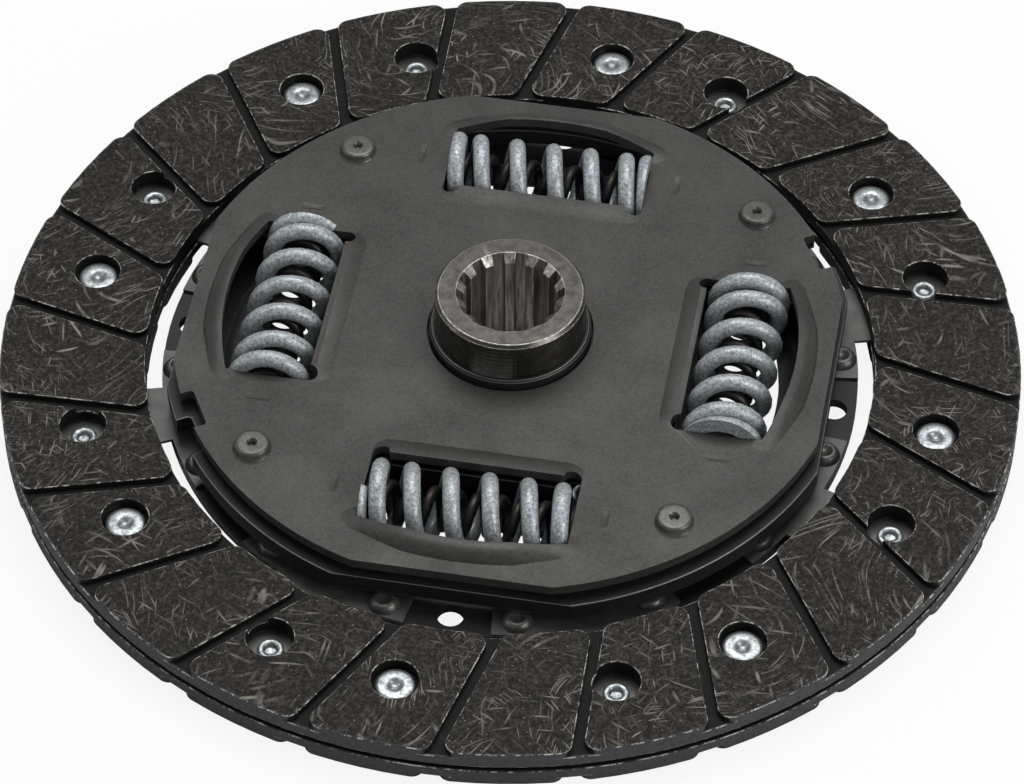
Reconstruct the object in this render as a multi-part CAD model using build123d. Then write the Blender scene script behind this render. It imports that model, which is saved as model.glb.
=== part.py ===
from build123d import *
from math import cos, degrees, pi, radians, sin
import os

# Dry clutch disc of a manual gearbox: friction facings on waved spring-steel segments, carried by two
# riveted plates that drive a splined hub through four pairs of coil springs. Sizes are in millimetres.
# Z is the gearbox shaft's axis and +Z points to the gearbox. z = 0 lies half-way between the facings,
# and +X passes through the middle of a spring window.

# ---------------------------------------------------------------- driving dimensions
# Friction facings: two equal moulded rings, grooved on the working face.
facing_od = 190.0
facing_id = 136.0
facing_thickness = 3.5
facing_gap = 1.2  # between the facings' backs, held open by the waved segments
groove_count = 24
groove_width = 2.0
groove_depth = 1.3
groove_offset = 25.0  # each groove is a straight line this far from the axis
groove_first = 1.74  # direction of the first groove, degrees
pad_corner = 2.4  # rounding of the pads between the grooves

# Cushion segments: eight thin leaves, each riveted to the drive plate by its foot.
segment_count = 8
segment_thickness = 0.7
segment_first = 22.5  # middle of the first segment's foot, degrees
neck_half_angle = 5.8
neck_shift = -1.4  # from the middle of the foot to the middle of the neck, degrees
foot_half_angle = 15.5
foot_width = 6.4  # inwards from the drive plate's rim
blade_inner_step = 1.5  # outwards from the facing's inner edge
blade_outer_step = 3.0  # inwards from the facing's rim
blade_half_angle = 20.5
fold_start = -2.0  # the ramp between the blade's two levels, measured along the blade
fold_end = 6.0

# Facing rivets: semi-tubular, sunk in the facing and clinched on the blade.
facing_rivet_inset = 0.8  # inwards from the middle of the facing's width
near_rivet_angle = 0.9  # from the foot's middle: holds the flywheel-side facing
far_rivet_angle = 18.1  # from the foot's middle: holds the gearbox-side facing
rivet_well_d = 8.6
rivet_head_d = 7.3
rivet_head_height = 0.8
rivet_head_sink = 1.46  # from the facing's working face down to the head
rivet_dimple_d = 2.4
rivet_dimple_depth = 0.5
rivet_shank_d = 3.6
rivet_tail_d = 4.8
rivet_tail_height = 0.7

# Segment rivets: two through each foot into the drive plate.
segment_rivet_inset = 3.0  # inwards from the drive plate's rim
segment_rivet_angle = 11.25  # each side of the foot's middle
segment_rivet_head_d = 5.8
segment_rivet_head_height = 1.5
segment_rivet_shank_d = 4.0

# Pressed sheet plates: the drive plate carries the segments, the cover plate closes the damper.
plate_thickness = 2.0
drive_plate_od = 130.0
cover_plate_od = 125.0
cover_flat = 59.8  # from the axis to the straight edges beside the windows
sight_hole_d = 4.9
sight_hole_inset = 4.0  # inwards from the drive plate's rim
cover_notch_angle = 29.0
notch_width = 8.8
cover_notch_depth = 2.6
notch_corner = 0.8
crease_length = 5.0  # short pressed marks in the cover plate, beyond each end of a window
crease_width = 1.6
crease_depth = 0.3
crease_gap = 5.5  # from the window's end

# Damper windows and springs.
spring_count = 4
spring_r = 42.3  # from the disc's axis to the springs' axes
spring_rise = 1.65  # the springs' axes above the flange's mid-plane
spring_od = 15.6
spring_wire_d = 3.2
spring_length = 38.2
spring_turns = 6.5
spring_phases = (-54.0, -54.0, -98.0, -165.0)  # how each one lies, turned about its own axis, degrees
spring_steps = 10  # straight runs to each turn of the wire
spring_sides = 8  # of the wire's section
inner_spring_gap = 0.4  # round the inner spring, which is wound the other way inside the outer one
inner_wire_d = 2.0
inner_turns = 10
inner_steps = 8
inner_sides = 6
closed_turns = 1.0  # wound tight and ground flat, at each end
pitch_ramp_turns = 0.4
spring_end_gap = 0.1  # between a spring's end and the window's end
window_side_gap = 0.1  # cover plate: between the spring's inner side and the window's inner edge
window_crown = 3.3  # cover plate: from the spring's outer side to the window's outer edge
relief_r = 1.6  # round relief in the window's inner corners
drive_window_inner_step = 4.0  # the drive plate's windows only hold the springs' undersides, so they
drive_window_crown = 0.2  # are narrower than the cover plate's
lip_crest_step = 0.7  # from the window's outer edge out to the crest of the lip
lip_inner_width = 3.6  # the swell that holds the spring in, each side of the crest
lip_outer_width = 3.0
lip_height = 2.1
lip_full_share = 0.5  # the share of the window's length over which the lip is at full height
lip_run_out = 4.0  # past the window's ends, degrees
sill_width = 4.5  # the low straight swell along the window's inner edge
sill_height = 0.9
sill_run_out = 4.0
drive_swell_share = 0.5  # the drive plate's swells are this share of the cover plate's height
swell_root = 0.3  # the swells start this deep in the sheet, so that they join it

# Hub flange: the plate between the two, driven by the springs.
flange_thickness = 3.5
flange_od = 128.6
flange_flat = 60.5
flange_window_step = 0.8  # its windows are this much wider inwards than the cover plate's
flange_window_crown = 2.6  # and this much outwards
flange_notch_angle = 31.7
flange_notch_depth = 3.0
cover_gap = 1.6  # flange to cover plate
drive_gap = 3.2  # flange to drive plate

# Stop pins: shouldered pins that tie the plates and stop the hub's twist in the flange's slots.
pin_inset = 9.8  # inwards from the drive plate's rim
pin_angle = 42.1
pin_shoulder_d = 8.0
pin_tenon_d = 6.0
pin_head_base_d = 7.2
pin_head_top_d = 6.2
pin_head_height = 1.6
pin_dimple_d = 1.6
slot_angle = 45.0
slot_half_travel = 8.0  # degrees that a pin can move each way from the slot's middle
slot_clearance = 0.3

# Hub.
hub_od = 28.0
hub_top = 19.9
hub_bottom = -4.6
hub_shoulder = 2.2  # the collar under the flange stands out this far
hub_chamfer = 0.6
spline_count = 14
spline_major_d = 20.0
spline_minor_d = 17.0
spline_space = 2.1
spline_lead_in = 0.75  # chamfer at both mouths of the bore
spline_first = 11.0
seat_root_step = 0.6  # toothed seat of the flange: its roots and tips stand out this far
seat_tip_step = 1.4
seat_teeth = 20
seat_tooth_width = 2.2

# Friction pack between the plates, round the hub.
bush_clearance = 0.05
bush_wall = 0.95
bush_rise = 1.9  # above the cover plate
bush_chamfer = 0.4
bush_collar = 3.0  # the collar stands out this far
cover_hole_gap = 0.5
drive_hole_gap = 0.8
ring_gap = 0.3  # from the collar to the friction rings
ring_width = 8.7
flywheel_ring_thickness = 1.4
pressure_ring_thickness = 0.8
belleville_thickness = 0.5

# ---------------------------------------------------------------- levels and derived sizes
facing_back = facing_gap / 2
facing_face = facing_back + facing_thickness
low_level = -facing_back  # underside of the feet and of the blades' low half
high_level = facing_back - segment_thickness  # underside of the blades' high half
drive_top = low_level
drive_bottom = drive_top - plate_thickness
flange_bottom = drive_top + drive_gap
flange_top = flange_bottom + flange_thickness
cover_bottom = flange_top + cover_gap
pressure_top = flange_bottom - flywheel_ring_thickness
pressure_bottom = pressure_top - pressure_ring_thickness
cover_top = cover_bottom + plate_thickness
spring_z = flange_bottom + flange_thickness / 2 + spring_rise
segment_step = 360 / segment_count
drive_plate_r, cover_plate_r = drive_plate_od / 2, cover_plate_od / 2
blade_inner_r = facing_id / 2 + blade_inner_step
blade_outer_r = facing_od / 2 - blade_outer_step
facing_rivet_r = (facing_od + facing_id) / 4 - facing_rivet_inset
segment_rivet_r = drive_plate_r - segment_rivet_inset
pin_r = drive_plate_r - pin_inset
window_inner = spring_r - spring_od / 2 - window_side_gap
window_outer_r = spring_r + spring_od / 2 + window_crown
gearbox_rivet_first = segment_first + far_rivet_angle
flywheel_rivet_first = segment_first + near_rivet_angle
window_half_length = spring_length / 2 + spring_end_gap
shoulder_r = hub_od / 2 + hub_shoulder
seat_root_r, seat_tip_r = hub_od / 2 + seat_root_step, hub_od / 2 + seat_tip_step
bush_inner_r = hub_od / 2 + bush_clearance
bush_outer_r = bush_inner_r + bush_wall
collar_r = bush_outer_r + bush_collar
ring_inner_r = collar_r + ring_gap
ring_outer_r = ring_inner_r + ring_width


# ---------------------------------------------------------------- shared forms
def turns(count, first=0.0):
    """The rotations about the disc's axis that repeat a piece count times."""
    return [Rot(0, 0, first + k * 360 / count) for k in range(count)]


def ring(outer_r, inner_r, bottom, top):
    """A flat ring about the disc's axis."""
    return extrude(Pos(0, 0, bottom) * (Circle(outer_r) - Circle(inner_r)), top - bottom)


def ring_sector(inner_r, outer_r, middle, half_angle):
    """The outline of part of a ring, either side of a direction in degrees."""
    reach = 2 * outer_r
    sides = [radians(middle - half_angle), radians(middle + half_angle)]
    wedge = Polygon((0, 0), *[(reach * cos(a), reach * sin(a)) for a in sides], align=None)
    return (Circle(outer_r) - Circle(inner_r)) & wedge


def turned(*points):
    """A solid turned about the disc's axis from its (radius, z) outline."""
    return revolve(make_face(Plane.XZ * Polyline(*points, close=True)), Axis.Z)


def discs(diameter, radius, count, first):
    """Equal round outlines on a circle about the disc's axis."""
    return [turn * Pos(radius, 0) * Circle(diameter / 2) for turn in turns(count, first)]


# ---------------------------------------------------------------- friction facings
def friction_facing():
    """The gearbox-side facing. The other one is the same moulding, turned over."""
    outer_r, inner_r = facing_od / 2, facing_id / 2
    pad_level = facing_face - groove_depth
    groove = Pos(outer_r, groove_offset) * Rectangle(outer_r, groove_width)
    pads = Circle(outer_r) - Circle(inner_r) - [turn * groove for turn in turns(groove_count, groove_first)]
    pads = fillet(pads.vertices(), pad_corner)
    body = ring(outer_r, inner_r, facing_back, pad_level)
    body += extrude(Pos(0, 0, pad_level) * pads, groove_depth)

    head_seat = facing_face - rivet_head_sink - rivet_head_height
    wells = discs(rivet_well_d, facing_rivet_r, segment_count, gearbox_rivet_first)
    shanks = discs(rivet_shank_d, facing_rivet_r, segment_count, gearbox_rivet_first)
    clear = discs(rivet_well_d, facing_rivet_r, segment_count, flywheel_rivet_first)
    body -= extrude(Pos(0, 0, head_seat) * Sketch(children=wells), facing_thickness)
    body -= extrude(Pos(0, 0, facing_back) * Sketch(children=shanks + clear), facing_thickness)
    return body


def turned_over(piece):
    """The same piece fitted on the flywheel side, with its rivet wells where that side's rivets are."""
    flip = radians((gearbox_rivet_first + flywheel_rivet_first) / 2)
    return piece.rotate(Axis((0, 0, 0), (cos(flip), sin(flip), 0)), 180)


# ---------------------------------------------------------------- cushion segments
def cushion_segment(foot):
    """One leaf: a flat foot and neck, and a blade whose far half is folded up to the other facing."""
    middle = foot + (near_rivet_angle + far_rivet_angle) / 2
    blade = ring_sector(blade_inner_r, blade_outer_r, middle, blade_half_angle)
    reach = facing_od / 2
    top, bottom = segment_thickness + low_level, low_level
    wave = Polygon(
        (-reach, bottom),
        (fold_start, bottom),
        (fold_end, high_level),
        (reach, high_level),
        (reach, high_level + segment_thickness),
        (fold_end, high_level + segment_thickness),
        (fold_start, top),
        (-reach, top),
        align=None,
    )
    waved_sheet = Rot(0, 0, middle) * extrude(Plane.YZ * wave, reach)
    leaf = extrude(Pos(0, 0, low_level) * blade, facing_gap) & waved_sheet

    foot_inner_r = drive_plate_r - foot_width
    neck_outer_r = blade_inner_r + segment_thickness
    neck_outline = ring_sector(foot_inner_r, neck_outer_r, foot + neck_shift, neck_half_angle)
    foot_outline = ring_sector(foot_inner_r, drive_plate_r, foot, foot_half_angle)
    leaf += extrude(Pos(0, 0, low_level) * (foot_outline + neck_outline), segment_thickness)

    holes = [Rot(0, 0, foot + a) * Pos(segment_rivet_r, 0) * Circle(segment_rivet_shank_d / 2)
             for a in (-segment_rivet_angle, segment_rivet_angle)]
    holes += [Rot(0, 0, foot + a) * Pos(facing_rivet_r, 0) * Circle(rivet_shank_d / 2)
              for a in (near_rivet_angle, far_rivet_angle)]
    return leaf - extrude(Pos(0, 0, low_level) * Sketch(children=holes), facing_gap)


# ---------------------------------------------------------------- rivets and pins
def facing_rivet():
    """A gearbox-side facing rivet on the disc's axis: dimpled head, shank, tail clinched on the blade."""
    head_top = facing_face - rivet_head_sink
    head_seat = head_top - rivet_head_height
    tail_end = high_level - rivet_tail_height
    return turned(
        (0, head_top - rivet_dimple_depth),
        (rivet_dimple_d / 2, head_top),
        (rivet_head_d / 2, head_top),
        (rivet_head_d / 2, head_seat),
        (rivet_shank_d / 2, head_seat),
        (rivet_shank_d / 2, high_level),
        (rivet_tail_d / 2, high_level),
        (rivet_shank_d / 2, tail_end),
        (0, tail_end),
    )


def segment_rivet():
    head, shank = segment_rivet_head_d / 2, segment_rivet_shank_d / 2
    foot_top = low_level + segment_thickness
    return turned(
        (0, foot_top + segment_rivet_head_height),
        (shank, foot_top + segment_rivet_head_height),
        (head, foot_top),
        (shank, foot_top),
        (shank, drive_bottom),
        (head, drive_bottom),
        (shank, drive_bottom - segment_rivet_head_height),
        (0, drive_bottom - segment_rivet_head_height),
    )


def stop_pin():
    """Shouldered pin: its tenons pass through both plates and are upset into heads outside them."""
    shoulder, tenon = pin_shoulder_d / 2, pin_tenon_d / 2
    return turned(
        (0, cover_top + pin_head_height - pin_dimple_d / 2),
        (pin_dimple_d / 2, cover_top + pin_head_height),
        (pin_head_top_d / 2, cover_top + pin_head_height),
        (pin_head_base_d / 2, cover_top),
        (tenon, cover_top),
        (tenon, cover_bottom),
        (shoulder, cover_bottom),
        (shoulder, drive_top),
        (tenon, drive_top),
        (tenon, drive_bottom),
        (pin_head_base_d / 2, drive_bottom),
        (pin_head_top_d / 2, drive_bottom - pin_head_height),
        (0, drive_bottom - pin_head_height),
    )


# ---------------------------------------------------------------- sheet plates
def windows(inner, outer_r):
    """The spring windows' outlines: straight inner edge and ends, arc outside, relieved inner corners."""
    outline = Pos((inner + outer_r) / 2, 0) * Rectangle(outer_r - inner, 2 * window_half_length)
    outline &= Circle(outer_r)
    for side in (-1, 1):
        outline += Pos(inner, side * (window_half_length - relief_r)) * Circle(relief_r)
    return [turn * outline for turn in turns(spring_count)]


def swell_section(inner, crest, outer, height):
    """A swell's section over the plane z = 0: an arc on a base that lies inside the sheet."""
    base = -2 * swell_root
    arc = ThreePointArc((inner, -swell_root), (crest, height), (outer, -swell_root))
    sides = Polyline((outer, -swell_root), (outer, base), (inner, base), (inner, -swell_root))
    return Plane.XZ * make_face(arc + sides)


def window_lip(edge_r, height):
    """The swell along a window's outer edge, on a sheet whose face is z = 0, running out past both ends."""
    crest_r = edge_r + lip_crest_step
    radii = (crest_r - lip_inner_width, crest_r, crest_r + lip_outer_width)
    end = degrees(window_half_length / edge_r)
    full = lip_full_share * end
    high, sunk = swell_section(*radii, height), swell_section(*radii, -swell_root / 2)
    lip = revolve(Rot(0, 0, -full) * high, Axis.Z, 2 * full)
    for side in (-1, 1):
        lip += loft([Rot(0, 0, side * full) * high, Rot(0, 0, side * (end + lip_run_out)) * sunk])
    return lip


def window_sill(edge, height):
    """The low straight swell along a window's inner edge; the window cuts it off at its crest."""
    lines = (edge - sill_width, edge, edge + sill_width)
    high, sunk = swell_section(*lines, height), swell_section(*lines, -swell_root / 2)
    half = window_half_length - 2 * relief_r
    sill = extrude(Pos(0, half, 0) * high, 2 * half)
    for side in (-1, 1):
        sill += loft([Pos(0, side * half, 0) * high, Pos(0, side * (half + sill_run_out), 0) * sunk])
    return sill


def damper_plate(outline, inner, outer_r, swell_share):
    """A pressed sheet with its top face at z = 0, lipped windows and holes for the stop pins."""
    sheet = extrude(Pos(0, 0, -plate_thickness) * outline, plate_thickness)
    swells = [window_lip(outer_r, swell_share * lip_height), window_sill(inner, swell_share * sill_height)]
    for turn in turns(spring_count):
        for swell in swells:
            sheet += turn * swell
            sheet -= turn * Pos(0, 0, -plate_thickness) * swell
    holes = windows(inner, outer_r) + discs(pin_tenon_d, pin_r, spring_count, pin_angle)
    return sheet - extrude(Pos(0, 0, -2 * plate_thickness) * Sketch(children=holes), 4 * plate_thickness)


def edge_notches(plate_r, depth, angle):
    """Two opposite notches in a plate's rim."""
    notch = Pos(plate_r, 0) * RectangleRounded(2 * depth, notch_width, notch_corner)
    return [turn * notch for turn in turns(2, angle)]


def cover_plate():
    """The gearbox-side plate, with a short pressed crease beyond each end of its windows."""
    outline = Circle(cover_plate_r) & Rectangle(2 * cover_flat, 2 * cover_flat)
    outline -= Circle(bush_outer_r + cover_hole_gap)
    outline -= edge_notches(cover_plate_r, cover_notch_depth, cover_notch_angle)
    plate = damper_plate(outline, window_inner, window_outer_r, 1.0)
    reach = window_half_length + crease_gap
    creases = [turn * Pos(spring_r, side * reach) * SlotOverall(crease_length, crease_width)
               for side in (-1, 1) for turn in turns(spring_count)]
    plate -= extrude(Pos(0, 0, -crease_depth) * Sketch(children=creases), plate_thickness)
    return Pos(0, 0, cover_top) * plate


def drive_plate():
    """The flywheel-side plate: the same pressing form, lips down, with the segments' rivet holes."""
    outline = Circle(drive_plate_r) - Circle(shoulder_r + drive_hole_gap)
    outline -= discs(sight_hole_d, drive_plate_r - sight_hole_inset, spring_count, 0)
    for side in (-segment_rivet_angle, segment_rivet_angle):
        outline -= discs(segment_rivet_shank_d, segment_rivet_r, segment_count, segment_first + side)
    inner = window_inner + drive_window_inner_step
    outer_r = spring_r + spring_od / 2 + drive_window_crown
    plate = damper_plate(outline, inner, outer_r, drive_swell_share)
    return Pos(0, 0, drive_bottom) * mirror(plate, Plane.XY)


# ---------------------------------------------------------------- hub and its flange
def seat_outline():
    """The toothed seat that the hub and its flange share."""
    tooth = Pos(seat_root_r, 0) * Rectangle(hub_od / 4, seat_tooth_width)
    teeth = [turn * tooth for turn in turns(seat_teeth)]
    return (Circle(seat_root_r) + teeth) & Circle(seat_tip_r)


def hub():
    top_edge = hub_od / 2 - hub_chamfer
    body = turned(
        (0, hub_bottom),
        (shoulder_r - hub_chamfer, hub_bottom),
        (shoulder_r, hub_bottom + hub_chamfer),
        (shoulder_r, flange_bottom),
        (hub_od / 2, flange_bottom),
        (hub_od / 2, hub_top - hub_chamfer),
        (top_edge, hub_top),
        (0, hub_top),
    )
    body += extrude(Pos(0, 0, flange_bottom) * seat_outline(), flange_thickness)

    space = Pos(spline_major_d / 4, 0) * Rectangle(spline_major_d / 2, spline_space)
    spaces = [turn * space for turn in turns(spline_count, spline_first)]
    bore = Circle(spline_minor_d / 2) + (Sketch(children=spaces) & Circle(spline_major_d / 2))
    body -= extrude(Pos(0, 0, hub_bottom - 1) * bore, hub_top - hub_bottom + 2)

    throat = spline_minor_d / 2
    mouth = throat + 2 * spline_lead_in
    for end, depth in ((hub_top, -2 * spline_lead_in), (hub_bottom, 2 * spline_lead_in)):
        body -= turned((0, end), (mouth, end), (throat, end + depth), (0, end + depth))
    return body


def hub_flange():
    """Flat plate pressed on the hub's toothed seat: spring windows, and slots that the stop pins run in."""
    outline = Circle(flange_od / 2) & Rectangle(2 * flange_flat, 2 * flange_flat)
    outline -= seat_outline()
    outline -= windows(window_inner - flange_window_step, window_outer_r + flange_window_crown)
    outline -= edge_notches(flange_od / 2, flange_notch_depth, flange_notch_angle)
    run = CenterArc((0, 0), pin_r, slot_angle - slot_half_travel, 2 * slot_half_travel)
    slot = SlotArc(run, pin_shoulder_d + 2 * slot_clearance)
    outline -= [turn * slot for turn in turns(spring_count)]
    return extrude(Pos(0, 0, flange_bottom) * outline, flange_thickness)


# ---------------------------------------------------------------- damper springs
def spring_height(turn, wire_d, coil_turns):
    """Height of the wire's centre after so many turns: closed turns at both ends, open ones between."""
    path_height = spring_length - wire_d / 2
    open_turns = coil_turns - 2 * closed_turns - pitch_ramp_turns
    open_pitch = (path_height - (2 * closed_turns + pitch_ramp_turns) * wire_d) / open_turns
    from_end = min(turn, coil_turns - turn)
    ramp = min(max(from_end - closed_turns, 0), pitch_ramp_turns)
    beyond = max(from_end - closed_turns - pitch_ramp_turns, 0)
    height = min(from_end, closed_turns) * wire_d
    height += ramp * wire_d + (open_pitch - wire_d) * ramp**2 / (2 * pitch_ramp_turns)
    height += beyond * open_pitch
    return height if turn <= coil_turns / 2 else path_height - height


def coil_spring(outer_d, wire_d, coil_turns, turn_steps, wire_sides):
    """A coil spring about the Z axis, standing on z = 0, its ends ground flat."""
    mean_r = (outer_d - wire_d) / 2
    points = []
    for step in range(round(coil_turns * turn_steps) + 1):
        angle = 2 * pi * step / turn_steps
        height = spring_height(step / turn_steps, wire_d, coil_turns) + wire_d / 4
        points.append((mean_r * cos(angle), mean_r * sin(angle), height))
    path = Polyline(*points)
    section = Plane(origin=path @ 0, z_dir=path % 0) * RegularPolygon(wire_d / 2, wire_sides)
    coil = sweep(section, path=path, transition=Transition.RIGHT)
    return coil & Pos(0, 0, spring_length / 2) * Box(2 * outer_d, 2 * outer_d, spring_length)


def laid_in_window(coil, phase):
    """A coil laid across the window on +X, turned about its own axis."""
    return Pos(spring_r, spring_length / 2, spring_z) * Rot(90, 0, 0) * Rot(0, 0, phase) * coil


# ---------------------------------------------------------------- friction pack
def centring_bush():
    """Collared bush that centres the plates on the hub and spaces the cover plate from the flange."""
    top = cover_top + bush_rise
    return turned(
        (bush_inner_r, flange_top),
        (collar_r, flange_top),
        (collar_r, cover_bottom),
        (bush_outer_r, cover_bottom),
        (bush_outer_r, top - bush_chamfer),
        (bush_outer_r - bush_chamfer, top),
        (bush_inner_r, top),
    )


def friction_spring():
    """Conical washer: its outer rim stands on the drive plate, its inner rim loads the pressure ring."""
    return turned(
        (ring_outer_r, drive_top),
        (ring_outer_r, drive_top + belleville_thickness),
        (ring_inner_r, pressure_bottom),
        (ring_inner_r, pressure_bottom - belleville_thickness),
    )


# ---------------------------------------------------------------- the pieces
ring_r = (ring_outer_r, ring_inner_r)
gearbox_facing = friction_facing()
gearbox_rivet = Pos(facing_rivet_r, 0) * facing_rivet()
gearbox_rivets = [turn * gearbox_rivet for turn in turns(segment_count, gearbox_rivet_first)]
foot_rivet = Pos(segment_rivet_r, 0) * segment_rivet()
foot_rivets = [turn * foot_rivet for side in (-segment_rivet_angle, segment_rivet_angle)
               for turn in turns(segment_count, segment_first + side)]

pieces = {
    "facing_gearbox_side": gearbox_facing,
    "facing_flywheel_side": turned_over(gearbox_facing),
    "facing_rivets_gearbox_side": Compound(children=gearbox_rivets),
    "facing_rivets_flywheel_side": Compound(children=[turned_over(rivet) for rivet in gearbox_rivets]),
    "segment_rivets": Compound(children=foot_rivets),
    "drive_plate": drive_plate(),
    "cover_plate": cover_plate(),
    "hub": hub(),
    "hub_flange": hub_flange(),
    "centring_bush": centring_bush(),
    "friction_ring_gearbox_side": ring(*ring_r, flange_top, cover_bottom),
    "friction_ring_flywheel_side": ring(*ring_r, pressure_top, flange_bottom),
    "pressure_ring": ring(*ring_r, pressure_bottom, pressure_top),
    "friction_spring": friction_spring(),
}
for k in range(segment_count):
    pieces[f"cushion_segment_{k + 1}"] = cushion_segment(segment_first + k * segment_step)
outer_coil = coil_spring(spring_od, spring_wire_d, spring_turns, spring_steps, spring_sides)
inner_spring_od = spring_od - 2 * spring_wire_d - 2 * inner_spring_gap
inner_coil = coil_spring(inner_spring_od, inner_wire_d, inner_turns, inner_steps, inner_sides)
inner_coil = mirror(inner_coil, Plane.XZ)
pin = Pos(pin_r, 0) * stop_pin()
for k, (spring_turn, pin_turn) in enumerate(zip(turns(spring_count), turns(spring_count, pin_angle))):
    pieces[f"damper_spring_{k + 1}"] = spring_turn * laid_in_window(outer_coil, spring_phases[k])
    pieces[f"inner_spring_{k + 1}"] = spring_turn * laid_in_window(inner_coil, 0)
    pieces[f"stop_pin_{k + 1}"] = pin_turn * pin

os.makedirs("parts", exist_ok=True)
for name, piece in pieces.items():
    export_step(piece, f"parts/{name}.step")
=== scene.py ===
import bmesh
import bpy
from math import cos, pi, radians, sin
from mathutils import Matrix, Vector


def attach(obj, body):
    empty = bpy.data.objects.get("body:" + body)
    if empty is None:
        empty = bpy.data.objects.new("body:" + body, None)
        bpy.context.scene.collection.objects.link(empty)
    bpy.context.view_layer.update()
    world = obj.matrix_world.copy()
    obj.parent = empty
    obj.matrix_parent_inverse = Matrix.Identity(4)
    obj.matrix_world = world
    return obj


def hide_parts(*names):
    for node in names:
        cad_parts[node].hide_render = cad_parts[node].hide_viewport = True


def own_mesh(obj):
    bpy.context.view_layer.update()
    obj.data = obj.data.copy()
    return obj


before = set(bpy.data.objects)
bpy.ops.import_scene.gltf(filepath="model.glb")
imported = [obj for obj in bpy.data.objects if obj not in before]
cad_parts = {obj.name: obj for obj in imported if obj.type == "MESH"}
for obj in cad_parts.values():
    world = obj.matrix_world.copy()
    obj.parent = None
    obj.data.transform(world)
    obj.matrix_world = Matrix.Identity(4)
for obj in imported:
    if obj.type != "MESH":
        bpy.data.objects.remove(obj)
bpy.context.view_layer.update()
scene = bpy.context.scene
MM = 0.001

# ---------------------------------------------------------------- friction facings
# Two moulded rings of organic friction material: glass and brass fibre in a dark phenolic resin,
# pressed, ground flat and grooved. The saw leaves the grooves' edges slightly broken and paler, and a
# painted highlight runs along them too.
FACE_LEVEL, FACING_R = 4.1, 95.0  # the ground face above the disc's middle, and the rim, in millimetres
FACE_EDGE = 0.16 * MM
FLAT_AREA = 40 * MM * MM  # larger faces than this keep flat shading


def colour(code):
    """An sRGB hex colour as the linear values that a shader takes."""
    channels = [int(code[i:i + 2], 16) / 255 for i in (1, 3, 5)]
    return [c / 12.92 if c <= 0.04045 else ((c + 0.055) / 1.055) ** 2.4 for c in channels] + [1.0]


def node(tree, kind, inputs, **settings):
    """Adds a shader node with its settings. Each input takes a value, or the output that feeds it.
    MapRange's inputs 0 to 4 are its value, the two ends it comes from and the two ends it goes to."""
    made = tree.nodes.new("ShaderNode" + kind)
    for name, value in settings.items():
        setattr(made, name, value)
    for key, value in inputs.items():
        if isinstance(value, bpy.types.NodeSocket):
            tree.links.new(value, made.inputs[key])
        else:
            made.inputs[key].default_value = value
    return made


def material(name, base, metallic, roughness):
    """A new material: its tree, its Principled shader and its Object coordinates in millimetres.
    The base colour is what a viewer without nodes shows."""
    made = bpy.data.materials.new(name)
    made.use_nodes = True
    tree = made.node_tree
    shader = tree.nodes["Principled BSDF"]
    shader.inputs["Base Color"].default_value = colour(base)
    shader.inputs["Metallic"].default_value = metallic
    shader.inputs["Roughness"].default_value = roughness
    place = node(tree, "TexCoord", {}).outputs["Object"]
    scaled = node(tree, "VectorMath", {0: place, "Scale": 1 / MM}, operation="SCALE")
    return made, tree, shader, scaled.outputs[0]


def two_tones(tree, pattern, start, end, low, high):
    """A surface that goes from one colour to another where a pattern's value goes from start to end."""
    share = node(tree, "MapRange", {0: pattern, 1: start, 2: end}).outputs[0]
    return node(tree, "Mix", {0: share, 6: low, 7: high}, data_type="RGBA").outputs[2]


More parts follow.
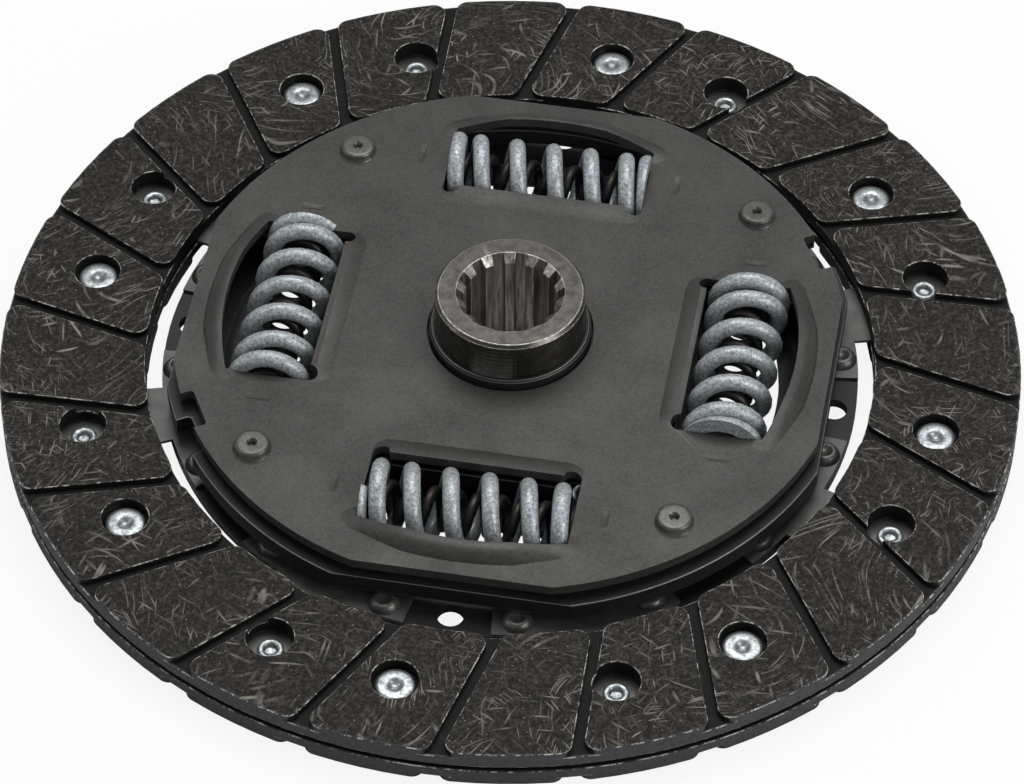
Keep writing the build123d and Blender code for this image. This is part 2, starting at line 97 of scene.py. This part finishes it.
def lining(name, resin, fibre, share):
    """Pressed friction material: dark resin with pale yarn wound in loops, a ground face, and grooves
    painted black as painted shade.
    The share is how far the fibres' colour covers the resin."""
    made, tree, shader, place = material(name, resin, 0.0, 0.6)
    shader.inputs["Specular IOR Level"].default_value = 0.2
    # the yarn's direction drifts over some 30 mm, as it does where it was wound in loops
    wander = node(tree, "TexNoise", {"Vector": place, "Scale": 0.03, "Detail": 0.0})
    swirl = node(tree, "VectorMath", {0: wander.outputs["Color"], "Scale": 45.0}, operation="SCALE")
    curved = node(tree, "VectorMath", {0: place, 1: swirl.outputs[0]}, operation="ADD").outputs[0]
    fibres = 0.0
    for turn, length in ((5, 12.0), (48, 9.0), (92, 13.0), (131, 8.0)):
        # each layer lies in its own direction, and its yarns show for 4 to 6 mm, up to 0.4 mm wide
        turned = node(tree, "Mapping", {"Vector": curved, "Rotation": (0.0, 0.0, radians(turn))})
        shift = (turn * 0.31, turn * 0.17, 0.4)
        cell = node(tree, "Mapping", {"Vector": turned.outputs[0], "Location": shift,
                                      "Scale": (1 / length, 1 / 0.75, 1 / 6)})
        seeds = node(tree, "TexVoronoi", {"Vector": cell.outputs[0], "Scale": 1.0})
        chance = node(tree, "SeparateColor", {0: seeds.outputs["Color"]}).outputs[0]
        strength = node(tree, "MapRange", {0: chance, 1: 0.25, 2: 1.0}).outputs[0]
        line = node(tree, "MapRange", {0: seeds.outputs["Distance"], 1: 0.3, 2: 0.18}).outputs[0]
        yarn = node(tree, "Math", {0: line, 1: strength}, operation="MULTIPLY").outputs[0]
        fibres = node(tree, "Math", {0: fibres, 1: yarn}, operation="MAXIMUM").outputs[0]
    # the yarn comes to the face in patches
    patchy = node(tree, "TexNoise", {"Vector": place, "Scale": 0.16, "Detail": 3.0, "Roughness": 0.6})
    bared = node(tree, "MapRange", {0: patchy.outputs["Fac"], 1: 0.38, 2: 0.62, 3: 0.15}).outputs[0]
    fibres = node(tree, "Math", {0: fibres, 1: bared}, operation="MULTIPLY").outputs[0]
    grit = node(tree, "TexNoise", {"Vector": place, "Scale": 1.3, "Detail": 4.0, "Roughness": 0.8})
    grain = two_tones(tree, grit.outputs["Fac"], 0.45, 0.7, colour(resin), colour("#4a453f"))
    # here and there a yarn's cut end shows as a dot of about 0.3 mm
    dots = node(tree, "TexVoronoi", {"Vector": place, "Scale": 0.7})
    ends = node(tree, "MapRange", {0: dots.outputs["Distance"], 1: 0.13, 2: 0.08, 4: 0.75}).outputs[0]
    fibres = node(tree, "Math", {0: fibres, 1: ends}, operation="MAXIMUM").outputs[0]
    shown = node(tree, "Math", {0: fibres, 1: share}, operation="MULTIPLY").outputs[0]
    face = node(tree, "Mix", {0: shown, 6: grain, 7: colour(fibre)}, data_type="RGBA").outputs[2]
    # the grooves and rivet wells below the ground face are painted near black as painted shade; the
    # moulding skin on the rim is smoother and greyer than the ground face
    height = node(tree, "SeparateXYZ", {0: place}).outputs[2]
    level = node(tree, "Math", {0: height}, operation="ABSOLUTE").outputs[0]
    face_with_painted_recess_shade = two_tones(tree, level, FACE_LEVEL - 0.15, FACE_LEVEL - 0.4, face, colour("#141312"))
    flat = node(tree, "VectorMath", {0: place, 1: (1.0, 1.0, 0.0)}, operation="MULTIPLY").outputs[0]
    radius = node(tree, "VectorMath", {0: flat}, operation="LENGTH").outputs["Value"]
    skin = two_tones(tree, grit.outputs["Fac"], 0.3, 0.7, colour("#343436"), colour("#4e4e51"))
    whole = two_tones(tree, radius, FACING_R - 0.45, FACING_R - 0.2, face_with_painted_recess_shade, skin)
    tree.links.new(whole, shader.inputs["Base Color"])
    relief = node(tree, "Math", {0: grit.outputs["Fac"], 1: fibres}, operation="ADD").outputs[0]
    bump = node(tree, "Bump", {"Height": relief, "Strength": 0.3, "Distance": 0.2 * MM})
    tree.links.new(bump.outputs[0], shader.inputs["Normal"])
    polish = node(tree, "MapRange", {0: fibres, 3: 0.64, 4: 0.42}).outputs[0]
    tree.links.new(polish, shader.inputs["Roughness"])
    return made


def sawn_edge_and_highlight():
    """The facings' rounded edges: chipped resin with a painted highlight along it, so the pale line comes
    and goes.
    """
    made, tree, shader, place = material("friction_lining_chipped_and_highlit_edge", "#3a3733", 0.0, 0.6)
    chips_and_glints = node(tree, "TexNoise", {"Vector": place, "Scale": 0.55, "Detail": 4.0, "Roughness": 0.8})
    pale = two_tones(tree, chips_and_glints.outputs["Fac"], 0.48, 0.6, colour("#24211f"), colour("#c4c0b8"))
    tree.links.new(pale, shader.inputs["Base Color"])
    return made


def cad_shape(node_name):
    """A bmesh of a CAD node's own shape, its triangles merged into whole faces."""
    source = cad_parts[node_name]
    mesh = source.data.copy()
    mesh.transform(source.matrix_world)
    shape = bmesh.new()
    shape.from_mesh(mesh)
    bmesh.ops.remove_doubles(shape, verts=shape.verts, dist=0.001 * MM)
    bmesh.ops.dissolve_limit(shape, angle_limit=radians(0.6), verts=shape.verts, edges=shape.edges)
    return shape


def worn_copy(name, node_name, body, skins, edge, segments=2, sharp=28, shape=None):
    """A CAD node's own shape with its edges rounded. The rounding takes the last of the skins."""
    shape = shape or cad_shape(node_name)
    # only the outer corners are rubbed round, and the large flats keep their own even shading
    worn = shape.edges.layers.float.new("bevel_weight_edge")
    for line in shape.edges:
        line[worn] = 1.0 if line.is_manifold and line.calc_face_angle_signed() > radians(sharp) else 0.0
    piece = finished(name, shape, body, skins, node_name, sharp, edge, segments)
    for face in piece.data.polygons:
        face.use_smooth = face.area < FLAT_AREA
    return piece


def finished(name, shape, body, skins, stands_for, sharp, edge=0.0, segments=2):
    """Makes an object of a bmesh, rounds its edges, gives it its skins and body, and hides the CAD node
    that it stands for.
    """
    mesh = bpy.data.meshes.new(name)
    shape.to_mesh(mesh)
    shape.free()
    for skin in skins:
        mesh.materials.append(skin)
    mesh.shade_smooth()
    mesh.set_sharp_from_angle(angle=radians(sharp))
    piece = bpy.data.objects.new(name, mesh)
    scene.collection.objects.link(piece)
    if edge:
        rounding = piece.modifiers.new("edges", "BEVEL")
        rounding.width = edge
        rounding.segments = segments
        rounding.limit_method = "WEIGHT"
        rounding.harden_normals = True
        rounding.miter_outer = "MITER_ARC"
        rounding.material = len(skins) - 1
    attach(piece, body)
    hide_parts(stands_for)
    return piece


friction_lining = lining("friction_lining", resin="#141211", fibre="#aaa59c", share=0.58)
broken_lining_and_highlight = sawn_edge_and_highlight()
for side in ("gearbox", "flywheel"):
    facing = worn_copy(f"friction_facing_{side}_side", f"facing_{side}_side", "driven_plates",
                       [friction_lining, broken_lining_and_highlight], FACE_EDGE)
    # the wells' walls have short edges, and to clamp the rounding to them would thin it everywhere
    facing.modifiers["edges"].use_clamp_overlap = False

# ---------------------------------------------------------------- cushion segments
# Eight leaves of thin blued spring steel, blanked, waved and hardened. They are riveted to the drive
# plate by the foot and hold the two facings a little apart, so that the clutch takes up softly.
FIRST_FOOT, FOOT_COUNT = 22.5, 8  # the segments' feet: the first one's angle, and how many
THIN_EDGE = 0.08 * MM
spring_steel, tree, shader, place = material("blued_spring_steel", "#3d3d3d", 0.6, 0.42)
# hardening and blueing leave a thin grey film, clouded over a few millimetres
cloud = node(tree, "TexNoise", {"Vector": place, "Scale": 0.22, "Detail": 4.0})
tones = two_tones(tree, cloud.outputs["Fac"], 0.35, 0.7, colour("#555553"), colour("#6b6a68"))
tree.links.new(tones, shader.inputs["Base Color"])
for k in range(FOOT_COUNT):
    worn_copy(f"waved_segment_{k + 1}", f"cushion_segment_{k + 1}", "driven_plates",
              [spring_steel], THIN_EDGE, segments=1)

# ---------------------------------------------------------------- facing rivets
# Semi-tubular steel rivets, zinc plated. The head sits in a well below the friction face, and the
# tube at the other end is rolled over on the segment by the riveting punch.
FACING_RIVET_R = 80.7 * MM
NEAR_RIVET, FAR_RIVET = 0.9, 18.1  # degrees on from the middle of each foot


def turned_shape(profile, steps):
    """A closed shape spun about Z from its outline of (radius, z) points, in millimetres."""
    shape = bmesh.new()
    verts = [shape.verts.new((r * MM, 0.0, z * MM)) for r, z in profile]
    edges = [shape.edges.new(pair) for pair in zip(verts, verts[1:])]
    bmesh.ops.spin(shape, geom=verts + edges, axis=(0, 0, 1), cent=(0, 0, 0), angle=2 * pi,
                   steps=steps, use_merge=True)
    bmesh.ops.remove_doubles(shape, verts=shape.verts, dist=0.002 * MM)
    bmesh.ops.recalc_face_normals(shape, faces=shape.faces)
    return shape


def repeated(shape, places):
    """One bmesh with a copy of a shape at each of the places."""
    part = bpy.data.meshes.new("part")
    shape.to_mesh(part)
    shape.free()
    group = bmesh.new()
    for where in places:
        start = len(group.verts)
        group.from_mesh(part)
        group.verts.ensure_lookup_table()
        bmesh.ops.transform(group, matrix=where, verts=group.verts[start:])
    bpy.data.meshes.remove(part)
    return group


def spots(radius, first, count):
    """The places at a radius, the first one at an angle in degrees and the rest evenly round the disc."""
    return [Matrix.Rotation(radians(first + 360 / count * k), 4, "Z") @ Matrix.Translation((radius, 0, 0))
            for k in range(count)]


zinc, tree, shader, place = material("zinc_plated_rivet", "#b9bec0", 0.85, 0.34)
# zinc plating is a pale silver that has dulled in specks of under a millimetre
dull = node(tree, "TexNoise", {"Vector": place, "Scale": 1.3, "Detail": 5.0, "Roughness": 0.65})
tones = two_tones(tree, dull.outputs["Fac"], 0.38, 0.66, colour("#858a8c"), colour("#c8cdce"))
tree.links.new(tones, shader.inputs["Base Color"])
polish = node(tree, "MapRange", {0: dull.outputs["Fac"], 1: 0.3, 2: 0.7, 3: 0.48, 4: 0.26})
tree.links.new(polish.outputs[0], shader.inputs["Roughness"])
bump = node(tree, "Bump", {"Height": dull.outputs["Fac"], "Strength": 0.4, "Distance": 0.1 * MM})
tree.links.new(bump.outputs[0], shader.inputs["Normal"])

# an outline runs from the axis at the top, down the outside and back to the axis
HEAD_TOP = FACE_LEVEL - 1.46
rivet_head = [(0, -0.75), (0.55, -0.7), (1.0, -0.3), (1.35, -0.02), (1.9, 0.05), (2.8, 0.02),
              (3.35, -0.1), (3.62, -0.32), (3.65, -0.62), (3.5, -0.8), (1.8, -0.8)]
rolled_tail = [(1.8, -0.1), (2.1, -0.16), (2.35, -0.36), (2.4, -0.55), (2.2, -0.78), (1.8, -0.84),
               (1.4, -0.74), (1.1, -0.5), (1.05, 0.2), (0, 0.5)]
facing_rivet = [(r, HEAD_TOP + z) for r, z in rivet_head] + rolled_tail
upright = spots(FACING_RIVET_R, FIRST_FOOT + FAR_RIVET, FOOT_COUNT)
turned_over = [place @ Matrix.Rotation(pi, 4, "X")
               for place in spots(FACING_RIVET_R, FIRST_FOOT + NEAR_RIVET, FOOT_COUNT)]
for side, places in (("gearbox", upright), ("flywheel", turned_over)):
    finished(f"tubular_rivets_{side}_side", repeated(turned_shape(facing_rivet, 28), places),
             "driven_plates", [zinc], f"facing_rivets_{side}_side", sharp=50)

# ---------------------------------------------------------------- segment rivets
# Solid cold-headed rivets, two through each segment's foot into the drive plate. They are
# phosphated with the plates, so they are nearly as dark as the sheet.


def phosphate(name, low, high, rough, metallic=0.35):
    """Manganese-phosphated and oiled steel: a dark grey crystalline coat, cloudy, with a fine tooth."""
    made, tree, shader, place = material(name, low, metallic, rough)
    cloud = node(tree, "TexNoise", {"Vector": place, "Scale": 0.07, "Detail": 5.0, "Roughness": 0.6})
    # the crystals are about 0.02 mm across; they are drawn at 0.5 mm so that they show
    crystals = node(tree, "TexNoise", {"Vector": place, "Scale": 1.9, "Detail": 3.0, "Roughness": 0.75})
    coat = node(tree, "Mix", {0: 0.6, 2: cloud.outputs["Fac"], 3: crystals.outputs["Fac"]},
                data_type="FLOAT")
    tones = two_tones(tree, coat.outputs[0], 0.36, 0.64, colour(low), colour(high))
    tree.links.new(tones, shader.inputs["Base Color"])
    polish = node(tree, "MapRange", {0: cloud.outputs["Fac"], 1: 0.3, 2: 0.7,
                                     3: rough + 0.06, 4: rough - 0.06})
    tree.links.new(polish.outputs[0], shader.inputs["Roughness"])
    bump = node(tree, "Bump", {"Height": crystals.outputs["Fac"], "Strength": 0.25, "Distance": 0.1 * MM})
    tree.links.new(bump.outputs[0], shader.inputs["Normal"])
    return made


phosphated_rivet = phosphate("phosphated_rivet_steel", "#454442", "#6d6b68", 0.36, 0.6)
SEGMENT_RIVET_R = 62.0 * MM
SEGMENT_RIVET = 11.25  # degrees each side of the middle of each foot
segment_rivet = [(0, 1.0), (0.8, 1.06), (1.3, 1.48), (1.7, 1.58), (2.2, 1.3), (2.75, 0.5), (2.9, 0.12),
                 (2.0, 0.1), (2.0, -2.6), (2.9, -2.62), (2.75, -3.0), (2.1, -3.6), (1.2, -4.0), (0, -4.1)]
places = [place for side in (-SEGMENT_RIVET, SEGMENT_RIVET)
          for place in spots(SEGMENT_RIVET_R, FIRST_FOOT + side, FOOT_COUNT)]
finished("solid_rivets", repeated(turned_shape(segment_rivet, 24), places), "driven_plates",
         [phosphated_rivet], "segment_rivets", sharp=50)

# ---------------------------------------------------------------- drive plate and cover plate
# Two pressings of 2 mm sheet steel with lipped spring windows, sheared, pressed and phosphated. Four
# shouldered pins tie them together, and the drive plate also carries the segments' feet.
SHEET_EDGE = 0.3 * MM
COVER_TOP = 9.7 * MM
CREASE_DRAW = 0.75  # how far a crease's floor is drawn in to its middle, so that it is a soft dent
phosphated_sheet = phosphate("phosphated_sheet_steel", "#2f2e2c", "#4b4a47", 0.46)
# the drive plate lies under the cover plate, and its coat is painted nearly black as painted shade
drive_plate_painted_shade = phosphate("shade_darkened_drive_plate_coat", "#1d1c1b", "#2c2b29", 0.46)
# where the coat is rubbed thin, the steel shows through, and these pale rounded edges also carry a painted
# highlight
rubbed_edge_and_highlight = phosphate("phosphated_sheet_worn_and_highlit_edge", "#5e5c59", "#7a7773", 0.36, 0.6)
worn_copy("pressed_drive_plate", "drive_plate", "driven_plates",
          [drive_plate_painted_shade, rubbed_edge_and_highlight], SHEET_EDGE)
cover = cad_shape("cover_plate")
for face in cover.faces:
    centre = face.calc_center_median()
    # a small level face just below the top is a crease's floor
    just_below = face.normal.z > 0.9 and 0.1 * MM < COVER_TOP - centre.z < 0.5 * MM
    if just_below and face.calc_area() < FLAT_AREA:
        for vert in face.verts:
            vert.co.xy = vert.co.xy.lerp(centre.xy, CREASE_DRAW)
worn_copy("pressed_cover_plate", "cover_plate", "driven_plates",
          [phosphated_sheet, rubbed_edge_and_highlight], SHEET_EDGE, sharp=35, shape=cover)

# ---------------------------------------------------------------- stop pins
# Turned steel pins with a shoulder between the plates. The ends are upset into flat heads by a punch
# that leaves a small round centre mark. They run in the flange's slots and stop the hub's twist.
PIN_R = 55.2 * MM
FIRST_PIN, PIN_COUNT = 42.1, 4
stop_pin = [(0, 10.0), (0.45, 10.1), (0.7, 10.9), (1.0, 11.24), (2.4, 11.3), (2.9, 11.24), (3.15, 11.05),
            (3.28, 10.7), (3.45, 9.85), (3.6, 9.7), (3.0, 9.66), (3.0, 7.7), (4.0, 7.7), (4.0, -0.6),
            (3.0, -0.6), (3.0, -2.6), (3.6, -2.62), (3.45, -2.85), (3.28, -3.7), (3.1, -4.1), (2.9, -4.2),
            (0, -4.2)]
for k, place in enumerate(spots(PIN_R, FIRST_PIN, PIN_COUNT)):
    finished(f"shouldered_pin_{k + 1}", repeated(turned_shape(stop_pin, 32), [place]), "driven_plates",
             [phosphated_rivet], f"stop_pin_{k + 1}", sharp=40)

# ---------------------------------------------------------------- hub and flange
# The hub is turned from bar steel, broached with 14 straight splines and left bright. The flange is a
# blanked and hardened plate pressed on its toothed seat, and the springs' ends push on its windows.
HUB_EDGE, FLANGE_EDGE = 0.12 * MM, 0.2 * MM
BORE_R = 10.3 * MM  # the splines' faces all lie within this
bright_steel, tree, shader, place = material("turned_bar_steel", "#8b8986", 1.0, 0.3)
# turned bar is a brownish grey, with the tool's rings about 0.2 mm apart; they are drawn 1 mm apart
rings = node(tree, "TexWave", {"Vector": place, "Scale": 0.32, "Distortion": 0.6, "Detail": 2.0},
             wave_type="BANDS", bands_direction="Z")
smear = node(tree, "TexNoise", {"Vector": place, "Scale": 0.5, "Detail": 5.0, "Roughness": 0.7})
tones = two_tones(tree, smear.outputs["Fac"], 0.35, 0.68, colour("#484643"), colour("#6f6c68"))
tree.links.new(tones, shader.inputs["Base Color"])
polish = node(tree, "MapRange", {0: smear.outputs["Fac"], 1: 0.3, 2: 0.7, 3: 0.42, 4: 0.24})
tree.links.new(polish.outputs[0], shader.inputs["Roughness"])
bump = node(tree, "Bump", {"Height": rings.outputs["Fac"], "Strength": 0.12, "Distance": 0.1 * MM})
tree.links.new(bump.outputs[0], shader.inputs["Normal"])
fresh_cut_and_highlight, tree, shader, place = material("broached_steel_and_highlight", "#a8a49e", 0.85, 0.36)
# the broach leaves fine lines along the bore; this brighter skin on the bore and the hub's rounded edges
# is a painted highlight
drawn = node(tree, "Mapping", {"Vector": place, "Scale": (1.0, 1.0, 0.08)})
lines = node(tree, "TexNoise", {"Vector": drawn.outputs[0], "Scale": 1.6, "Detail": 4.0, "Roughness": 0.7})
tones = two_tones(tree, lines.outputs["Fac"], 0.36, 0.66, colour("#6f6c68"), colour("#cfcbc4"))
tree.links.new(tones, shader.inputs["Base Color"])
hub = worn_copy("broached_hub", "hub", "splined_hub", [bright_steel, fresh_cut_and_highlight], HUB_EDGE)
# the bore's faces take the brighter skin, a painted highlight over the broach's lines
for face in hub.data.polygons:
    level = abs(face.normal.z) >= 0.95
    if face.center.xy.length < BORE_R and not level:
        face.material_index = 1
# the flange lies under the cover plate, and its coat is painted nearly black as painted shade
flange_painted_shade = phosphate("shade_darkened_flange_coat", "#1e1e1e", "#2b2a29", 0.45, 0.4)
worn_copy("slotted_flange", "hub_flange", "splined_hub", [flange_painted_shade, rubbed_edge_and_highlight],
          FLANGE_EDGE)

# ---------------------------------------------------------------- damper springs
# Nested pairs of opposite hand, cold-wound from round chrome-silicon wire. The outer ones are
# shot-peened to a pale mottled grey, and the inner ones, inside the outer coils, are painted nearly black
# as painted shade. Both ends of each are closed and ground flat, and bear on the ends of the windows.
SPRING_R, SPRING_Z = 42.3 * MM, 6.0 * MM
SPRING_LENGTH = 38.2 * MM
CLOSED, EASED = 1.0, 0.4  # turns at each end that are wound tight, and that then open out
CLOSED_RISE = 1.02  # of the wire's thickness, so the closed turns all but touch
GROUND = 0.3  # grinding goes this share of the wire's radius past its middle
peened, tree, shader, place = material("peened_spring_wire", "#9aa3aa", 0.35, 0.4)
# the peening dimples are about 0.2 mm across; they are drawn at 0.5 mm
dimples = node(tree, "TexNoise", {"Vector": place, "Scale": 1.9, "Detail": 4.0, "Roughness": 0.75})
tones = two_tones(tree, dimples.outputs["Fac"], 0.38, 0.64, colour("#7d8588"), colour("#d2d7d9"))
tree.links.new(tones, shader.inputs["Base Color"])
bump = node(tree, "Bump", {"Height": dimples.outputs["Fac"], "Strength": 0.45, "Distance": 0.1 * MM})
tree.links.new(bump.outputs[0], shader.inputs["Normal"])
# the inner springs' wire is painted nearly black as painted shade inside the outer coils
inner_wire_painted_shade = phosphate("shade_darkened_inner_wire", "#1d1c1b", "#363433", 0.4, 0.4)


def coil_spring(coil_r, wire_r, total_turns, hand, turn_steps, wire_sides):
    """A spring wound about Z from z = 0 up, its end turns closed and then ground flat. The coil's radius
    is to the middle of the wire, and its hand is 1 or -1."""
    shape = bmesh.new()
    wire = bmesh.ops.create_circle(shape, cap_ends=False, radius=wire_r, segments=wire_sides)["verts"]
    stand = Matrix.Translation((coil_r, 0, -GROUND * wire_r)) @ Matrix.Rotation(pi / 2, 4, "X")
    bmesh.ops.transform(shape, matrix=stand, verts=wire)
    end = wire + list(shape.edges)
    closed_pitch = 2 * wire_r * CLOSED_RISE
    open_turns = total_turns - 2 * (CLOSED + EASED)
    climb = SPRING_LENGTH + 2 * GROUND * wire_r
    open_pitch = (climb - (2 * CLOSED + EASED) * closed_pitch) / (open_turns + EASED)
    middle_pitch = (closed_pitch + open_pitch) / 2
    for turns, pitch in ((CLOSED, closed_pitch), (EASED, middle_pitch), (open_turns, open_pitch),
                         (EASED, middle_pitch), (CLOSED, closed_pitch)):
        steps = round(turns * turn_steps)
        spun = bmesh.ops.spin(shape, geom=end, axis=(0, 0, 1), cent=(0, 0, 0), steps=steps,
                              angle=hand * 2 * pi * turns, dvec=(0, 0, pitch * turns / steps),
                              use_merge=False)
        end = spun["geom_last"]
    bmesh.ops.recalc_face_normals(shape, faces=shape.faces)
    for level, clear in ((0.0, (0, 0, -1)), (SPRING_LENGTH, (0, 0, 1))):
        bmesh.ops.bisect_plane(shape, geom=list(shape.verts) + list(shape.edges) + list(shape.faces),
                               plane_co=(0, 0, level), plane_no=clear, clear_outer=True)
    bmesh.ops.holes_fill(shape, edges=[edge for edge in shape.edges if edge.is_boundary], sides=0)
    return shape


# each pair lies turned about its own axis by chance
for k, phase in enumerate((-108, -108, -152, 141)):
    window = Matrix.Rotation(k * pi / 2, 4, "Z")
    lay = (window @ Matrix.Translation((SPRING_R, SPRING_LENGTH / 2, SPRING_Z))
           @ Matrix.Rotation(pi / 2, 4, "X") @ Matrix.Rotation(radians(phase), 4, "Z"))
    outer = coil_spring(6.2 * MM, 1.6 * MM, total_turns=6.8, hand=1, turn_steps=25, wire_sides=14)
    inner = coil_spring(3.2 * MM, 1.0 * MM, total_turns=10.8, hand=-1, turn_steps=20, wire_sides=10)
    for name, spring, skin, slot in (("damper", outer, peened, "coil_spring_steel"),
                                     ("inner", inner, inner_wire_painted_shade, "inner_spring_steel")):
        bmesh.ops.transform(spring, matrix=lay, verts=spring.verts)
        piece = finished(f"wound_{name}_spring_{k + 1}", spring, "damper_springs", [skin],
                         f"{name}_spring_{k + 1}", sharp=50)
        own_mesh(piece)

# ---------------------------------------------------------------- friction pack
# A collared sintered-iron bush centres the plates on the hub. Friction rings, a pressure ring and a
# conical spring washer lie between the flange and the plates, and damp the springs.
RING_EDGE = 0.1 * MM
# sintered iron is porous and dull; the bush is painted nearly black as painted shade on its side
bush_painted_shade = phosphate("shade_darkened_bush_coat", "#191918", "#242322", 0.5, 0.3)
worn_copy("collared_bush", "centring_bush", "driven_plates", [bush_painted_shade, rubbed_edge_and_highlight],
          RING_EDGE)
moulded, tree, shader, place = material("moulded_friction_ring", "#3b3227", 0.0, 0.6)
# the rings' moulding compound is brown with paler flecks of its filler
fleck = node(tree, "TexNoise", {"Vector": place, "Scale": 1.6, "Detail": 3.0})
tones = two_tones(tree, fleck.outputs["Fac"], 0.4, 0.65, colour("#332b22"), colour("#54493a"))
tree.links.new(tones, shader.inputs["Base Color"])
for side in ("gearbox", "flywheel"):
    worn_copy(f"friction_washer_{side}_side", f"friction_ring_{side}_side", "driven_plates",
              [moulded], RING_EDGE)
worn_copy("flat_pressure_ring", "pressure_ring", "driven_plates", [spring_steel], THIN_EDGE)
worn_copy("conical_spring_washer", "friction_spring", "driven_plates",
          [spring_steel], THIN_EDGE, segments=1)

# ---------------------------------------------------------------- studio
# A white table under a soft tent of light, and the camera above the edge of the disc. The table
# shows white to the camera and keeps the disc's soft shadow.
TABLE_LEVEL = -4.7 * MM
TABLE_GLOW = 0.88  # how much of what the camera sees of the table is plain white
bpy.ops.mesh.primitive_plane_add(size=3.0, location=(0, 0, TABLE_LEVEL))
table = bpy.context.object
table.name = "table"
white = bpy.data.materials.new("white_table")
white.use_nodes = True
tree = white.node_tree
paper = tree.nodes["Principled BSDF"]
paper.inputs["Base Color"].default_value = colour("#efefef")
paper.inputs["Roughness"].default_value = 0.9
seen = node(tree, "LightPath", {}).outputs["Is Camera Ray"]
share = node(tree, "Math", {0: seen, 1: TABLE_GLOW}, operation="MULTIPLY").outputs[0]
glow = node(tree, "Emission", {"Strength": 1.0})
blend = node(tree, "MixShader", {0: share, 1: paper.outputs[0], 2: glow.outputs[0]})
tree.links.new(blend.outputs[0], tree.nodes["Material Output"].inputs["Surface"])
table.data.materials.append(white)

world = bpy.data.worlds.new("tent")
scene.world = world
world.use_nodes = True
sky = world.node_tree.nodes["Background"]
# the tent's cloth is a plain, faintly cool white
sky.inputs["Color"].default_value = colour("#e8eaec")
sky.inputs["Strength"].default_value = 0.34

# each lamp: where it stands and its size in metres, and its watts; all point at the disc's middle
for name, place, size, watts in (
    ("tent_top", (0.0, 0.25, 0.7), (0.7, 0.5), 3.6),
    ("tent_left", (-0.6, -0.1, 0.35), (0.4, 0.4), 0.45),
    ("tent_right", (0.6, -0.25, 0.35), (0.4, 0.4), 1.9),
):
    light = bpy.data.lights.new(name, "AREA")
    light.shape = "RECTANGLE"
    light.size, light.size_y = size
    light.energy = watts
    lamp = bpy.data.objects.new(name, light)
    scene.collection.objects.link(lamp)
    lamp.location = place
    lamp.rotation_euler = (-Vector(place)).to_track_quat("-Z", "Y").to_euler()

scene.view_settings.view_transform = "Standard"
CAMERA_ELEVATION, CAMERA_AZIMUTH, CAMERA_ROLL = radians(47.462), radians(10.0), radians(0.103)
CAMERA_DISTANCE = 852.47 * MM
camera = bpy.data.objects.new("camera", bpy.data.cameras.new("camera"))
scene.collection.objects.link(camera)
back = Vector((sin(CAMERA_AZIMUTH) * cos(CAMERA_ELEVATION), -cos(CAMERA_AZIMUTH) * cos(CAMERA_ELEVATION),
               sin(CAMERA_ELEVATION)))
camera.rotation_euler = ((-back).to_track_quat("-Z", "Y").to_matrix().to_4x4()
                         @ Matrix.Rotation(CAMERA_ROLL, 4, "Z")).to_euler()
camera.location = Vector((0, 0, FACE_LEVEL * MM)) + back * CAMERA_DISTANCE
camera.data.lens = 160.78
camera.data.shift_x, camera.data.shift_y = 0.0017, -0.0414
scene.camera = camera
